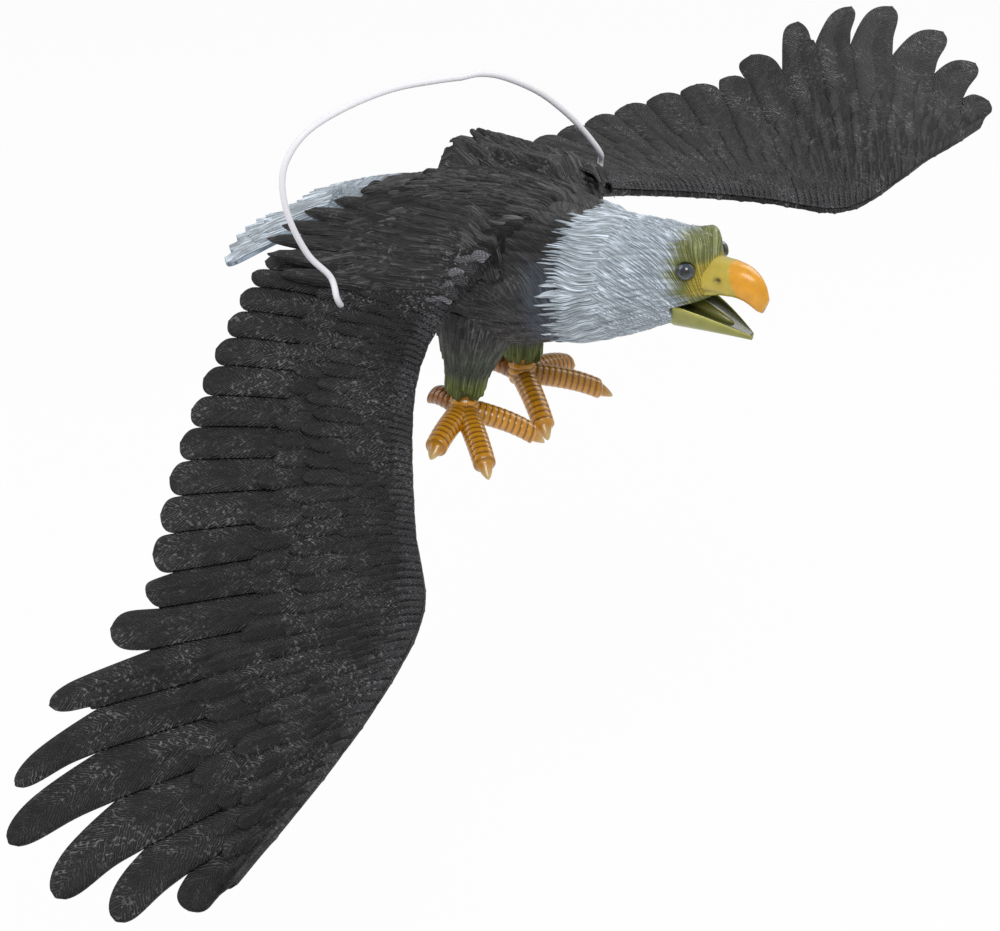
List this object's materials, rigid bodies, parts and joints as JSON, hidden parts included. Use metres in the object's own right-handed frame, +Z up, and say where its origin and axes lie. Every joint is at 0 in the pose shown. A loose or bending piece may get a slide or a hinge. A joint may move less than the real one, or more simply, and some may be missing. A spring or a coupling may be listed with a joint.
{
  "type": "hanging eagle bird scarer",
  "caption": "Soft plastic eagle decoy in flight, hung by a cord looped between its drooping wings, with fingered feathers, open beak and spread talons, to scare birds",
  "frame": {"origin": "top of the cord loop, where a hook or line holds the decoy up", "axes": "+X is the way the beak points, +Y is out along the bird's left wing, +Z is up"},
  "size_m": [0.2456, 0.6667, 0.2022],
  "materials": {
    "feather_dark": "moulded feather relief, near black",
    "body_dark": "moulded feather relief, charcoal brown",
    "plumage_pale": "moulded feather relief, pale blue-white, with a painted beak",
    "foot_ochre": "ringed scales, glossy ochre",
    "eye_dark": "polished dark blue",
    "cord_white": "smooth white cord"
  },
  "bodies": {
    "torso": {"torso_shell": "body_dark", "head_shell": "plumage_pale", "left_eye": "eye_dark", "right_eye": "eye_dark", "tail_fan": "plumage_pale", "left_foot": "foot_ochre", "right_foot": "foot_ochre", "hanging_cord_left": "cord_white", "hanging_cord_right": "cord_white"},
    "left_wing": {"left_wing": "feather_dark", "left_knot": "cord_white"},
    "right_wing": {"right_wing": "feather_dark", "right_knot": "cord_white"}
  },
  "joints": [
    {"name": "left_wing_flap", "type": "hinge", "parent": "torso", "child": "left_wing", "pos_m": [0.011, 0.0285, -0.051], "axis": [1, 0, 0], "range_deg": [-30, 14], "stiffness_Nm_per_rad": 1.5, "springref_deg": 5.2, "deforming": ["hanging_cord_left"]},
    {"name": "right_wing_flap", "type": "hinge", "parent": "torso", "child": "right_wing", "pos_m": [0.011, -0.0285, -0.051], "axis": [-1, 0, 0], "range_deg": [-7, 37], "stiffness_Nm_per_rad": 1.5, "springref_deg": 4.54, "deforming": ["hanging_cord_right"]}
  ]
}
